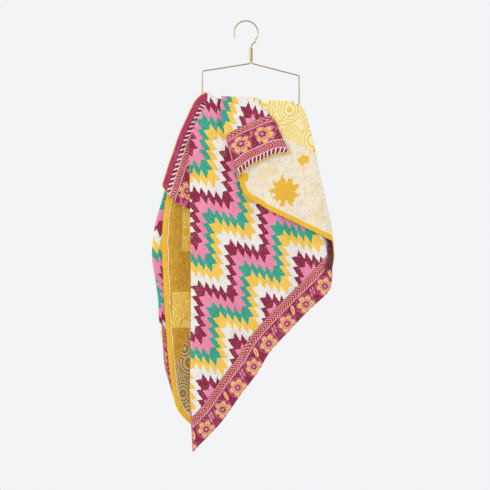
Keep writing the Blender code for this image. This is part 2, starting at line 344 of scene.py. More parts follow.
# Sockets of a Mix node that mixes colours
MIX_COLOUR_INPUTS = (0, 6, 7)
MIX_COLOUR_OUTPUT = 2

# Painted shade: dark maroon painted over the turn of the hem at the right end of the turned-back leaf, where
# the fold lies in shade
PAINTED_SHADE_LINE = [(254, 664), (262, 700), (263, 735), (258, 756)]
PAINTED_SHADE_HALF_WIDTH = 11.0
PAINTED_SHADE_FADE = 3.0

# Slight waves all over the cloth: turn in radians for each millimetre across and down, and height
RUMPLES = ((0.088, 0.031, 0.6), (-0.047, 0.079, 0.5), (0.125, -0.098, 0.35), (0.016, 0.163, 0.3))
CREASE_FADE = 3.0

# Small creases and puckers, listed one by one: side, leaf, start, end, half_width, height
CREASES = (
    ("front", "face", (-110, 253), (-138, 374), 9, -2.6),
    ("front", "face", (-92, 262), (-104, 360), 8, 1.8),
    ("front", "face", (150, 700), (60, 930), 22, 2.0),
    ("front", "face", (-60, 640), (-120, 980), 24, 2.0),
    ("front", "face", (40, 560), (-20, 760), 20, -1.6),
    ("front", "turnback", (115, 413), (60, 560), 7, -2.2),
    ("front", "turnback", (178, 400), (222, 600), 16, 2.4),
    ("front", "turnback", (140, 440), (170, 600), 12, -1.4),
    ("front", "flap", (70, 300), (100, 405), 12, 1.8),
    ("front", "flap", (-40, 330), (20, 430), 12, -1.6),
    ("front", "corner", (-190, 360), (-228, 540), 10, 1.8),
    ("front", "corner", (-150, 330), (-160, 560), 12, -1.6),
    ("rear", "corner", (-214, 560), (-232, 1080), 16, -1.8),
    ("rear", "corner", (-176, 900), (-224, 1090), 12, 2.6),
    ("rear", "face", (40, 360), (-10, 800), 24, 2.6),
    ("rear", "turnback", (60, 400), (80, 760), 20, 2.2),
)


def place(x, depth, drop):
    """A point in metres from x, distance behind the hanger's plane and drop in millimetres."""
    return (x * MM, depth * MM, -drop * MM)


def colour(red, green, blue):
    """A linear colour from its 0 to 255 display values."""
    parts = [value / 255 for value in (red, green, blue)]
    return (*[p / 12.92 if p <= 0.04045 else ((p + 0.055) / 1.055) ** 2.4 for p in parts], 1.0)


MAROON = colour(142, 20, 58)
PINK = colour(244, 138, 172)
TEAL = colour(38, 166, 138)
YELLOW = colour(252, 204, 76)
WHITE = colour(243, 238, 232)
RASPBERRY = colour(176, 42, 92)
ARC_PINK = colour(214, 92, 134)
ORANGE = colour(240, 150, 88)
GREEN = colour(120, 160, 60)
LINE_PINK = colour(240, 196, 206)
DARK_MAROON = colour(98, 20, 48)
MUSTARD = colour(206, 152, 34)
BRIGHT_MUSTARD = colour(246, 190, 24)
# dark ochre, painted as shade under the fan print on the reverse's lower corner
SHADED_OCHRE = colour(168, 126, 44)
BLOSSOM = colour(244, 186, 44)
FAN_YELLOW = colour(242, 204, 62)
FAN_PALE = colour(255, 240, 186)
PALE_YELLOW = colour(252, 226, 140)
CREAM = colour(250, 238, 214)
YARN = colour(222, 196, 152)
BRASS = colour(176, 156, 108)
TARNISH = colour(140, 120, 82)

# Colours by turns, and colours laid one over another out to a distance
BAND_COLOURS = (MAROON, PINK, TEAL, YELLOW, WHITE)
CHEVRON_COLOURS = (ORANGE, MAROON, PINK, MAROON)
LEAF_LAYERS = ((1.2, PINK), (0.9, YELLOW))
PAIR_LAYERS = ((1.0, PINK), (0.4, MAROON))
PETAL_LAYERS = ((9.8, PINK), (7.4, RASPBERRY), (6.6, YELLOW))
HEART_LAYERS = ((8.6, MAROON), (4.4, PINK))


def ease(value):
    """0 to 1 with level ends."""
    value = np.clip(value, 0.0, 1.0)
    return value * value * (3.0 - 2.0 * value)


def smooth_line(points, shares):
    """Points at shares of the length along a smooth curve through the given points."""
    points = np.array(points, float)
    padded = np.vstack([2 * points[0] - points[1], points, 2 * points[-1] - points[-2]])
    fine = []
    for before, start, end, after in zip(padded, padded[1:], padded[2:], padded[3:]):
        for t in np.linspace(0.0, 1.0, CURVE_STEPS, endpoint=False):
            fine.append(
                0.5 * (
                    2 * start
                    + (end - before) * t
                    + (2 * before - 5 * start + 4 * end - after) * t**2
                    + (3 * start - before - 3 * end + after) * t**3
                )
            )
    fine.append(points[-1])
    fine = np.array(fine)
    along = np.concatenate([[0.0], np.cumsum(np.linalg.norm(np.diff(fine, axis=0), axis=1))])
    wanted = np.asarray(shares) * along[-1]
    return np.column_stack([np.interp(wanted, along, fine[:, k]) for k in range(2)])


def bar_drop(x):
    """Drop of the bar's centre, which hangs askew and is bent down under the cloth."""
    return np.interp(x, [point[0] for point in BAR], [point[1] for point in BAR])


def whole_line(line):
    """All points of one of the lines that leaves share, from its place on the bar down."""
    on_bar, below = line
    return [(on_bar, bar_drop(on_bar)), *below]


def bar_sag(first, last, across):
    """How far the bent bar lies below a straight line between two of its points."""
    chord = bar_drop(first) + across * (bar_drop(last) - bar_drop(first))
    return bar_drop(first + across * (last - first)) - chord


def bar_depth(leaf, layer, x):
    """Distance of a leaf's middle from the bar's centre, where it lies over the bar."""
    layers = np.full_like(x, layer)
    if leaf == "face":
        low, high = FACE_STEP_X
        layers = layers * (1.0 - ease((x - low) / (high - low)))
    return BAR_WRAP + layers * LAYER_STEP


def table_depth(table, leaf, below):
    """A leaf's depth from a table, eased from row to row."""
    column = DEPTH_COLUMNS.index(leaf)
    drops = np.array([row[0] for row in table], float)
    depths = np.array([row[column] for row in table], float)
    at = np.clip(np.searchsorted(drops, below) - 1, 0, len(drops) - 2)
    share = ease((below - drops[at]) / (drops[at + 1] - drops[at]))
    return depths[at] + (depths[at + 1] - depths[at]) * share


def peak_rise(x, drop):
    """How far the cloth is held up where it catches on the left corner of the wire."""
    near = ease((PEAK_X[1] - x) / (PEAK_X[1] - PEAK_X[0]))
    return PEAK_RISE * near * (1.0 - ease((drop - bar_drop(x)) / PEAK_FADE))


def ridge_height(table, x, below):
    """Height of the soft ridges of one side, each fading in at its top and mostly out at its foot."""
    height = np.zeros_like(x)
    for at_x, lean, half_width, rise, top, bottom in table:
        across = (x - at_x - lean * below) / half_width
        kept = 1.0 - (1.0 - RIDGE_LEFT_OVER) * ease((below - bottom) / RIDGE_FADE_OUT)
        height += rise * np.exp(-across * across) * ease((below - top) / RIDGE_FADE_IN) * kept
    return height


def rumple(layer, x, drop):
    """The slight unevenness that rows of running stitch leave in the cloth."""
    return sum(rise * np.sin(x * across + drop * down + layer) for across, down, rise in RUMPLES)


def creases(side, leaf, x, drop):
    """Height of the small creases of one leaf, each fading towards its two ends."""
    height = np.zeros_like(x)
    for on_side, on_leaf, start, end, half_width, rise in CREASES:
        if (on_side, on_leaf) == (side, leaf):
            start, step = np.array(start, float), np.subtract(end, start).astype(float)
            along = ((x - start[0]) * step[0] + (drop - start[1]) * step[1]) / (step @ step)
            across = ((x - start[0]) * step[1] - (drop - start[1]) * step[0]) / np.linalg.norm(step)
            faded = ease(along * CREASE_FADE + 0.5) * ease((1.0 - along) * CREASE_FADE + 0.5)
            height += rise * np.exp(-((across / half_width) ** 2)) * faded
    return height


def leaf_depth(side, leaf, layer, x, drop):
    """Distance of a leaf's middle from the hanger's plane at points below the bar."""
    below = np.maximum(drop - bar_drop(x), 0.0)
    resting = bar_depth(leaf, layer, x)
    hanging = table_depth(DEPTHS[side], leaf, below) + ridge_height(RIDGES[side], x, below)
    hanging += creases(side, leaf, x, drop) + rumple(layer, x, drop)
    return resting + (hanging - resting) * ease(below / OPENING_DROP)


def leaf_points(side, leaf, start, end, columns, shares):
    """(x, drop) of a leaf's points, row by row, at shares of the way from bar to hem."""
    across = np.linspace(0.0, 1.0, columns)[None, :, None]
    first = smooth_line(whole_line(LINES[side][start]), shares)[:, None, :]
    last = smooth_line(whole_line(LINES[side][end]), shares)[:, None, :]
    hem = smooth_line(HEMS[side][leaf], across[0, :, 0])
    flat_hem = hem[0] + across[0] * (hem[-1] - hem[0])
    made = first + across * (last - first) + (hem - flat_hem)[None] * shares[:, None, None] ** HEM_DRAW
    sag = bar_sag(LINES[side][start][0], LINES[side][end][0], across[0, :, 0])
    made[..., 1] += sag * (1.0 - shares[:, None]) ** SAG_FADE
    return made


def turn_side(line):
    """Which way a fold line bulges: -1 to the left, 1 to the right, 0 on a free edge."""
    return (line in RIGHT_FOLDS) - (line in LEFT_FOLDS)


def nearest_on(line, points):
    """Distance of points from a line, and how far along it each one's nearest point lies."""
    line = smooth_line(line, np.linspace(0.0, 1.0, NEAREST_STEPS))
    before_start = line[0] + LINE_OVERRUN * (line[0] - line[1])
    past_end = line[-1] + LINE_OVERRUN * (line[-1] - line[-2])
    line = np.vstack([before_start, line, past_end])
    starts, steps = line[:-1], np.diff(line, axis=0)
    lengths = np.linalg.norm(steps, axis=1)
    before = np.concatenate([[0.0], np.cumsum(lengths)[:-1]])
    best = np.full(points.shape[:-1], np.inf)
    along = np.zeros(points.shape[:-1])
    for start, step, length, run in zip(starts, steps, lengths, before):
        share = np.clip(((points - start) @ step) / length**2, 0.0, 1.0)
        distance = np.linalg.norm(points - start - share[..., None] * step, axis=-1)
        closer = distance < best
        best = np.where(closer, distance, best)
        along = np.where(closer, run + share * length, along)
    return best, along


def print_place(side, leaf, layer, flat, fold_x, fold_radius):
    """Where a leaf's points lie in the print, which runs on round the left folds and over the bar."""
    flat_x, drop = flat[..., 0], flat[..., 1]
    x = flat_x
    if leaf in PRINT_OF:
        x = 2 * fold_x[:, None] - flat_x - math.pi * fold_radius[:, None]
    if side == "rear":
        drop = 2 * bar_drop(flat_x) - drop - math.pi * bar_depth(leaf, layer, flat_x)
    degrees, about, shift = PRINT_TURNS[PRINT_OF.get(leaf, leaf)]
    cos, sin = math.cos(math.radians(degrees)), math.sin(math.radians(degrees))
    dx, dd = x - about[0], drop - about[1]
    return cos * dx - sin * dd + about[0] + shift[0], sin * dx + cos * dd + about[1] + shift[1]


def border_place(side, leaf, flat):
    """How far along the border a leaf's points lie, and how far in from its outer side."""
    corner_edge = whole_line(LINES[side]["corner_edge"])
    line = corner_edge if leaf == "corner" else HEMS[side][leaf]
    line = BORDER_LINES.get((side, leaf), line)
    away, along = nearest_on(line, flat)
    if (side, leaf) == ("front", "flap"):
        away = np.interp(away, *FLAP_BORDER)
        along = along * FLAP_BORDER_STRETCH
    return along + BORDER_SHIFTS[leaf], away + BORDER_STARTS[leaf]


def painted_shade_share(side, leaf, flat):
    """1 where the turn of the hem is painted dark maroon as shade, and 0 away from it."""
    if (side, leaf) != ("front", "face"):
        return np.zeros(flat.shape[:-1])
    return ease((PAINTED_SHADE_HALF_WIDTH - nearest_on(PAINTED_SHADE_LINE, flat)[0]) / PAINTED_SHADE_FADE + 0.5)


def hem_distance(side, leaf, flat):
    """Distance of a leaf's points from the nearest cut edge of the sheet."""
    away = nearest_on(HEMS[side][leaf], flat)[0]
    for edge_leaf, edge in (("flap", "flap_edge"), ("corner", "corner_edge")):
        if leaf == edge_leaf:
            away = np.minimum(away, nearest_on(whole_line(LINES[side][edge]), flat)[0])
    return away


def leaf_fields(side, leaf, layer, flat, fold_x, fold_radius):
    """The nine numbers that the materials read at each point of a leaf, three for each attribute."""
    print_x, print_d = print_place(side, leaf, layer, flat, fold_x, fold_radius)
    along, inward = border_place(side, leaf, flat)
    patch = np.full(flat.shape[:-1], float(leaf == "turnback" or (side, leaf) == ("front", "face")))
    hem = hem_distance(side, leaf, flat)
    # painted shade: 1 where the turn of the hem is painted dark maroon as shade
    painted_shade = painted_shade_share(side, leaf, flat)
    return np.stack([print_x, print_d, hem, along, inward, painted_shade, flat[..., 0], flat[..., 1], patch], axis=-1)


def side_rows(side, shares):
    """Rows across the whole sheet on one side: x, drop, depth and then the fields."""
    flats, depths = [], []
    for leaf, start, end, columns, layer in LEAVES:
        flats.append(leaf_points(side, leaf, start, end, columns, shares))
        depths.append(leaf_depth(side, leaf, layer, flats[-1][..., 0], flats[-1][..., 1]))
    radii = [np.abs(a[:, -1] - b[:, 0]) / 2 for a, b in zip(depths, depths[1:])]
    none = np.zeros(len(shares))
    leaves = []
    for number, (leaf, start, end, columns, layer) in enumerate(LEAVES):
        before = radii[number - 1] if number else none
        after = radii[number] if number < len(radii) else none
        across = np.linspace(0.0, 1.0, columns)[None, :]
        shift = -turn_side(start) * before[:, None] * (1 - across) - turn_side(end) * after[:, None] * across
        fold_x = leaves[-1][:, -1, 0] if number else none
        fields = leaf_fields(side, leaf, layer, flats[number], fold_x, before)
        x = flats[number][..., 0] + shift
        leaves.append(np.dstack([x, flats[number][..., 1], depths[number], fields]))
    made = []
    for number, leaf in enumerate(leaves):
        made.append(leaf)
        if number < len(radii):
            bulge = turn_side(LEAVES[number][2])
            made.append(fold_columns(leaf[:, -1], leaves[number + 1][:, 0], bulge, radii[number]))
    return np.concatenate(made, axis=1)


def fold_columns(leaving, entering, bulge, radius):
    """The columns round a fold, between the last of one leaf and the first of the next."""
    made = []
    for step in range(1, FOLD_STEPS):
        angle = math.pi * step / FOLD_STEPS
        column = leaving + (entering - leaving) * step / FOLD_STEPS
        column[:, 0] += bulge * radius * math.sin(angle)
        column[:, 2] = leaving[:, 2] + (entering[:, 2] - leaving[:, 2]) * (1 - math.cos(angle)) / 2
        made.append(column)
    return np.stack(made, axis=1)


def row_shares(count):
    """Shares of the way from bar to hem, close together at the hem: 0 on the bar, 1 at the hem."""
    even = np.linspace(0.0, 1.0, count) ** ROW_SPREAD
    return np.unique(np.concatenate([even, 1.0 - np.array(HEM_SHARES)]))


def lifted(rows):
    """Drops of rows of points once the cloth has caught on the wire's left corner."""
    return rows[..., 1] - peak_rise(rows[..., 0], rows[..., 1])


def sheet_grid():
    """The sheet's middle surface in metres and its fields, from the front hem over the bar to the rear."""
    front = side_rows("front", row_shares(FRONT_ROWS)[::-1])
    rear = side_rows("rear", row_shares(REAR_ROWS))
    points = [np.stack(place(front[..., 0], -front[..., 2], lifted(front)), axis=-1)]
    fields = [front[..., 3:]]
    x, depth = front[-1][:, 0], front[-1][:, 2]
    for angle in np.linspace(0.0, math.pi, WRAP_ROWS + 2)[1:-1]:
        drop = lifted(front[-1]) - depth * math.sin(angle)
        points.append(np.stack(place(x, -depth * math.cos(angle), drop), axis=-1)[None])
        turned = angle / math.pi
        fields.append((front[-1][:, 3:] * (1 - turned) + rear[0][:, 3:] * turned)[None])
    points.append(np.stack(place(rear[..., 0], rear[..., 2], lifted(rear)), axis=-1))
    fields.append(rear[..., 3:])
    return np.concatenate(points), np.concatenate(fields)


def unit(vectors):
    """The vectors at length 1."""
    return vectors / np.maximum(np.linalg.norm(vectors, axis=-1, keepdims=True), TINY)


def cloth_mesh(name, points, fields):
    """A closed sheet: the printed side, the reverse side and the rim between them."""
    rows, columns = points.shape[:2]
    normal = unit(np.cross(np.gradient(points, axis=0), np.gradient(points, axis=1)))
    half = CLOTH_THICKNESS / 2 * MM
    printed = points + normal * half
    reverse = points - normal * half
    count = rows * columns
    index = np.arange(count).reshape(rows, columns)
    a, b, c, d = index[:-1, :-1], index[1:, :-1], index[1:, 1:], index[:-1, 1:]
    front_faces = np.stack([a, b, c, d], axis=-1).reshape(-1, 4)
    back_faces = np.stack([a, d, c, b], axis=-1).reshape(-1, 4) + count
    rim = np.concatenate([index[0, :], index[1:, -1], index[-1, -2::-1], index[-2::-1, 0]])
    edge_faces = np.stack([rim[:-1], rim[1:], rim[1:] + count, rim[:-1] + count], axis=-1)
    faces = np.concatenate([front_faces, back_faces, edge_faces])
    mesh = bpy.data.meshes.new(name)
    everything = np.concatenate([printed.reshape(-1, 3), reverse.reshape(-1, 3)])
    mesh.from_pydata(everything.tolist(), [], faces.tolist())
    sides = np.concatenate([np.zeros(len(front_faces)), np.ones(len(back_faces) + len(edge_faces))])
    mesh.polygons.foreach_set("material_index", sides.astype(np.int32))
    both = np.concatenate([fields.reshape(count, -1)] * 2)
    # border_place also carries, as its third number, where the turn of the hem is painted dark as shade
    for number, name in enumerate(("print_place", "border_place", "back_place")):
        store(mesh, name, both[:, 3 * number:3 * number + 3])
    mesh.shade_smooth()
    return mesh


def store(mesh, name, values):
    """Keeps three numbers at each point for the materials."""
    layer = mesh.attributes.new(name, "FLOAT_VECTOR", "POINT")
    layer.data.foreach_set("vector", values.astype(np.float32).ravel())


def feed(tree, slot, value):
    """Links a number or socket of the material to an input, or sets the input to a plain value."""
    if isinstance(value, Num):
        value = value.socket
    if isinstance(value, bpy.types.NodeSocket):
        tree.links.new(value, slot)
    else:
        slot.default_value = value


class Num:
    """A number in a material, so that its nodes can be written as a formula."""

    def __init__(self, tree, socket):
        self.tree, self.socket = tree, socket

    def maths(self, operation, *others):
        """The result of a Math node that has this number as its first input."""
        node = self.tree.nodes.new("ShaderNodeMath")
        node.operation = operation
        for slot, value in zip(node.inputs, (self, *others)):
            feed(self.tree, slot, value)
        return Num(self.tree, node.outputs[0])

    def __add__(self, other):
        return self.maths("ADD", other)

    def __sub__(self, other):
        return self.maths("SUBTRACT", other)

    def __mul__(self, other):
        return self.maths("MULTIPLY", other)

    def __truediv__(self, other):
        return self.maths("DIVIDE", other)

    def __gt__(self, other):
        return self.maths("GREATER_THAN", other)

    def __lt__(self, other):
        return self.maths("LESS_THAN", other)

    def floor(self):
        return self.maths("FLOOR")

    def fraction(self):
        return self.maths("FRACT")

    def size(self):
        return self.maths("ABSOLUTE")

    def between(self, low, high):
        return (self > low) * (self < high)

    def fade(self, low, high):
        """0 at low, 1 at high, smooth between and level beyond."""
        node = self.tree.nodes.new("ShaderNodeMapRange")
        node.interpolation_type = "SMOOTHSTEP"
        for name, value in (("Value", self), ("From Min", low), ("From Max", high)):
            feed(self.tree, node.inputs[name], value)
        return Num(self.tree, node.outputs["Result"])


def length_of(a, b):
    """Length of the vector (a, b)."""
    return (a * a + b * b).maths("SQRT")


class Finish:
    """A material under construction: its nodes, its shader and the fields it reads."""

    def __init__(self, name):
        self.material = bpy.data.materials.new(name)
        self.material.use_nodes = True
        self.tree = self.material.node_tree
        self.shader = self.tree.nodes["Principled BSDF"]

    def node(self, kind, **inputs):
        """A new node with the named inputs linked or set."""
        made = self.tree.nodes.new("ShaderNode" + kind)
        for name, value in inputs.items():
            feed(self.tree, made.inputs[name], value)
        return made

    def field(self, name):
        """The three numbers that the mesh holds under a name."""
        read = self.node("Attribute")
        read.attribute_name = name
        split = self.node("SeparateXYZ", Vector=read.outputs["Vector"])
        return [Num(self.tree, socket) for socket in split.outputs]

    def vector(self, x, y):
        return self.node("CombineXYZ", X=x, Y=y).outputs[0]

    def noise(self, vector, scale, detail=2.0):
        made = self.node("TexNoise", Vector=vector, Scale=scale, Detail=detail)
        return Num(self.tree, made.outputs["Fac"])

    def cells(self, vector, scale):
        """Distance from the middle of the nearest of the scattered cells."""
        made = self.node("TexVoronoi", Vector=vector, Scale=scale, Randomness=CELL_RANDOMNESS)
        return Num(self.tree, made.outputs["Distance"])

    def mix(self, share, first, second):
        """The first colour where share is 0 and the second where it is 1."""
        made = self.node("Mix")
        made.data_type = "RGBA"
        for slot, value in zip(MIX_COLOUR_INPUTS, (share, first, second)):
            feed(self.tree, made.inputs[slot], value)
        return made.outputs[MIX_COLOUR_OUTPUT]

    def layers(self, distance, ground, *layers):
        """Colours laid over a ground in turn, each where the distance is under its limit."""
        for limit, shade in layers:
            ground = self.mix(distance < limit, ground, shade)
        return ground

    def steps(self, index, colours):
        """One of several colours by a whole number."""
        ramp = self.node("ValToRGB", Fac=(index + 0.5) / len(colours))
        ramp.color_ramp.interpolation = "CONSTANT"
        stops = ramp.color_ramp.elements
        while len(stops) < len(colours):
            stops.new(0.5)
        for number, (stop, value) in enumerate(zip(stops, colours)):
            stop.position = number / len(colours)
            stop.color = value
        return ramp.outputs[0]

    def shade(self, name, value):
        """Links or sets one of the shader's own inputs."""
        feed(self.tree, self.shader.inputs[name], value)

    def bump(self, height, distance, strength):
        made = self.node("Bump", Height=height, Distance=distance, Strength=strength)
        self.shade("Normal", made.outputs["Normal"])


def zigzag_colour(cloth, x, d):
    """The flame stripes: five colours in turn down each strip, stepped from strip to strip."""
    across = x * ACROSS_STRIPS[0] + d * ACROSS_STRIPS[1]
    down = x * ALONG_STRIPS[0] + d * ALONG_STRIPS[1]
    strips = (across + STRIP_ORIGIN) / STRIP_WIDTH
    strip = strips.floor()
    inside = (strips - strip) * STRIP_WIDTH
    period = (strip / (2 * STRIPS_A_FLIGHT)).floor()
    number = strip - period * (2 * STRIPS_A_FLIGHT)
    steep = number > STRIPS_A_FLIGHT - 0.5
    near_line = number * NEAR_STEP + inside * NEAR_SLOPE + BAND_START
    steep_line = number * STEEP_STEP + inside * STEEP_SLOPE + STEEP_START
    line = near_line + (steep_line - near_line) * steep + period * PERIOD_STEP
    band = ((down - line) / BAND_LENGTH).floor()
    turn = band - (band / len(BAND_COLOURS)).floor() * len(BAND_COLOURS)
    return cloth.steps(turn, BAND_COLOURS)


def chevron_colour(cloth, s, q):
    """Orange and pink arrowheads on maroon, along a stripe whose middle is at q = 0."""
    phase = ((s - q.size() * CHEVRON_SLANT) / CHEVRON_PITCH).fraction()
    return cloth.steps((phase * len(CHEVRON_COLOURS)).floor(), CHEVRON_COLOURS)


def leaves_colour(cloth, ground, s, q):
    """Leaves in the gaps between the flowers: a yellow one and a pair of pink ones by turns."""
    gap = (s / FLOWER_SPACING + 0.5).floor()
    from_gap = s - gap * FLOWER_SPACING
    lean = from_gap + (q - LEAF_FROM) * LEAF_LEAN
    upright = (q - LEAF_FROM) / LEAF_HALF_LENGTH
    yellow = cloth.layers(length_of(lean / LEAF_HALF_WIDTH, upright), ground, *LEAF_LAYERS)
    rib = (lean.size() < RIB_HALF_WIDTH) * (upright.size() < RIB_SHARE)
    yellow = cloth.mix(rib, yellow, MAROON)
    pair = length_of((lean.size() - PAIR_APART) / PAIR_HALF_WIDTH, upright)
    pink = cloth.layers(pair, ground, *PAIR_LAYERS)
    odd_gap = (gap / 2.0).fraction() > 0.25
    made = cloth.mix(odd_gap, yellow, pink)
    low_leaf = length_of(
        (from_gap.size() - LOW_LEAF_APART + q * LOW_LEAF_LEAN) / LOW_LEAF_HALF_WIDTH,
        (q + LOW_LEAF_DEPTH) / LOW_LEAF_HALF_LENGTH,
    )
    return cloth.mix(low_leaf < 1.0, made, YELLOW)


def flower_colour(cloth, s, q):
    """Six-petalled flowers in a row on maroon, with leaves between them."""
    across = ((s / FLOWER_SPACING).fraction() - 0.5) * FLOWER_SPACING
    radius = length_of(across, q)
    made = cloth.mix((radius - ARC_RADIUS).size() < ARC_HALF_WIDTH, MAROON, ARC_PINK)
    made = cloth.mix((q - BASE_LINE).size() < BASE_LINE_HALF_WIDTH, made, RASPBERRY)
    made = leaves_colour(cloth, made, s, q)
    sector = math.tau / PETALS
    folded = (q.maths("ARCTAN2", across) / sector).fraction() * sector - sector / 2
    out = radius * folded.maths("COSINE")
    aside = radius * folded.maths("SINE")
    made = cloth.layers(length_of(out - PETAL_AT, aside), made, *PETAL_LAYERS)
    made = cloth.mix(length_of(out - PETAL_EYE_AT, aside) < PETAL_EYE_RADIUS, made, GREEN)
    return cloth.layers(radius, made, *HEART_LAYERS)


def face_colour(cloth, x, d, s, b, hem):
    """The whole printed side: zigzag field, then the border's bands from the inner one out."""
    inner_middle = (FLOWERS_TO + INNER_CHEVRONS_TO) / 2
    outer_middle = (TICKS_TO + OUTER_CHEVRONS_TO) / 2
    ticks = (((s + b * TICK_SLANT) / TICK_SPACING).fraction() < TICK_SHARE) * (b > TICKS_FROM)
    made = cloth.layers(
        b,
        zigzag_colour(cloth, x, d),
        (BORDER_TO, MAROON),
        (BORDER_TO - PALE_LINE, LINE_PINK),
        (INNER_CHEVRONS_TO, chevron_colour(cloth, s, b - inner_middle)),
        (FLOWERS_TO + PALE_LINE, LINE_PINK),
        (FLOWERS_TO, flower_colour(cloth, s, b - FLOWER_FROM)),
        (OUTER_CHEVRONS_TO, LINE_PINK),
        (OUTER_CHEVRONS_TO - PALE_LINE, chevron_colour(cloth, s, b - outer_middle)),
        (TICKS_TO + PALE_LINE, LINE_PINK),
        (TICKS_TO, cloth.mix(ticks, MAROON, WHITE)),
        (0.0, RASPBERRY),
    )
    return cloth.mix((hem < RIM_WIDTH) * (b < TICKS_TO), made, BRIGHT_MUSTARD)


def stitch_place(x, d):
    """How far across and along the rows of running stitch a place lies."""
    return x * ACROSS_ROWS[0] + d * ACROSS_ROWS[1], x * ACROSS_ROWS[1] - d * ACROSS_ROWS[0]


def running_stitch(x, d, pitch, stitch, width):
    """1 on the thread of the parallel rows of running stitch, and the height of the cloth between."""
    across, along = stitch_place(x, d)
    across, along = across / pitch, along / (2 * stitch)
    row = across.floor()
    from_row = (across - row - 0.5).size() * pitch
    phase = (along + row * ROW_STAGGER).fraction()
    thread = (from_row < width / 2) * (phase < THREAD_SHARE)
    return thread, from_row / (pitch / 2)


def quilted_bump(cloth, where, x, d, thread, pillow):
    """Rows of stitches that draw the cloth in, puckers between them and the weave."""
    across, along = stitch_place(x, d)
    raised = {
        "pillow": pillow.maths("POWER", 0.5),
        "pucker": cloth.noise(cloth.vector(across, along * PUCKER_STRETCH), scale=0.2, detail=3.0),
        "slack": cloth.noise(where, scale=0.045),
        "thread": thread,
        "weave": cloth.noise(where, scale=1.3, detail=1.0),
    }
    first, *others = [raised[name] * height for name, height in BUMP_HEIGHTS]
    for other in others:
        first = first + other
    cloth.bump(first, distance=BUMP_DISTANCE, strength=BUMP_STRENGTH)


def print_material():
    """The printed side: its colours bleed a little, and show thread and wear."""
    cloth = Finish("kantha_print")
    x, d, hem = cloth.field("print_place")
    s, b, painted_shade = cloth.field("border_place")
    where = cloth.vector(x, d)
    bleed = (cloth.noise(where, scale=0.11) - 0.5) * BLEED_REACH
    made = face_colour(cloth, x + bleed, d - bleed, s + bleed * BLEED_ALONG, b, hem)
    # Painted shade: dark maroon painted over the shaded turn of the hem
    made = cloth.mix(painted_shade, made, DARK_MAROON)
    thread, pillow = running_stitch(x, d, *PRINT_STITCH)
    speckle = cloth.noise(where, scale=0.09, detail=1.0).fade(0.5, 0.62)
    made = cloth.mix(thread * (speckle * SPECKLE_SHARE + PRINT_THREAD_SHARE), made, WHITE)
    wear = cloth.noise(where, scale=0.02, detail=4.0)
    made = cloth.mix(wear.fade(0.5, 0.8) * PALE_WEAR, made, WHITE)
    made = cloth.mix(wear.fade(0.5, 0.25) * DARK_WEAR, made, DARK_MAROON)
    cloth.shade("Base Color", made)
    quilted_bump(cloth, where, x, d, thread, pillow)
    cloth.shade("Roughness", 0.9)
    cloth.shade("Sheen Weight", 0.06)
    cloth.shade("Sheen Roughness", 0.5)
    return cloth.material


def fans(cloth, x, d, ground, line):
    """Broken rings round scattered middles, as a stencil leaves them."""
    distance = cloth.cells(cloth.vector(x, d * FAN_SQUASH), FAN_CELLS)
    rings = (distance * FAN_RINGS).maths("SINE").fade(-0.3, 0.5)
    dashes = ((x * ACROSS_DASHES[0] + d * ACROSS_DASHES[1]) / DASH_PITCH).fraction().fade(0.1, 0.35)
    return cloth.mix(rings * (dashes * (1.0 - DASH_LEFT_OVER) + DASH_LEFT_OVER), ground, line)


def blossom(cloth, made, flower, x, d, ragged, at, size, petals, depth):
    """A block-printed blossom with ragged petals."""
    across, down = x - at[0], d - at[1]
    angle = down.maths("ARCTAN2", across)
    edge = (angle * (petals / 2)).maths("SINE").size() * depth + (1.0 - depth) + ragged
    return cloth.mix(length_of(across, down) < edge * size, made, flower)


def turned_back_colour(cloth, where, x, d):
    """The reverse that shows at the front: yellow fans, then cream with blossoms."""
    yarn_place = cloth.vector(x * 0.9 + d * 0.2, d * 0.08)
    yarn = cloth.noise(yarn_place, scale=0.5, detail=3.0).fade(0.47, 0.66)
    cream = cloth.mix(yarn * YARN_SHARE, CREAM, YARN)
    stain = cloth.noise(where, scale=0.012).fade(0.52, 0.66)
    cream = cloth.mix(stain * STAIN_SHARE, cream, YELLOW)
    ragged = cloth.noise(where, scale=0.085) - 0.5
    stamens = cloth.cells(where, STAMEN_CELLS) < STAMEN_RADIUS
    flower = cloth.mix(stamens * STAMEN_SHARE, BLOSSOM, PALE_YELLOW)
    for at, size, petals, depth in BLOSSOMS:
        cream = blossom(cloth, cream, flower, x, d, ragged, at, size, petals, depth)
    below_seam = d - x * PATCH_SEAM_SLOPE - PATCH_SEAM_DROP + ragged * PATCH_SEAM_WAVER
    return cloth.mix(below_seam > 0.0, fans(cloth, x, d, FAN_PALE, FAN_YELLOW), cream)


def hanging_reverse_colour(cloth, x, d):
    """The reverse behind the opening: plain mustard, two patches of fans, and a corner whose fan print is
    painted dark ochre as painted shade.
    """
    wear = cloth.noise(cloth.vector(x * 0.7, d * 0.35), scale=0.16, detail=3.0)
    made = cloth.mix(wear.fade(0.35, 0.75) * MUSTARD_WEAR, MUSTARD, BRIGHT_MUSTARD)
    bright_fans = fans(cloth, x, d, BRIGHT_MUSTARD, PALE_YELLOW)
    for top, bottom, left in FAN_PATCHES:
        made = cloth.mix(d.between(top, bottom) * (x > left), made, bright_fans)
    # Painted shade: the fan print is real, and its dark ochre ground stands in for the shade of the fold
    # beside the face
    corner = ((d + x * SHADED_CORNER_SLOPE - SHADED_CORNER_DROP) > 0.0) * (x < SHADED_CORNER_RIGHT)
    return cloth.mix(corner, made, fans(cloth, x, d, SHADED_OCHRE, YARN))


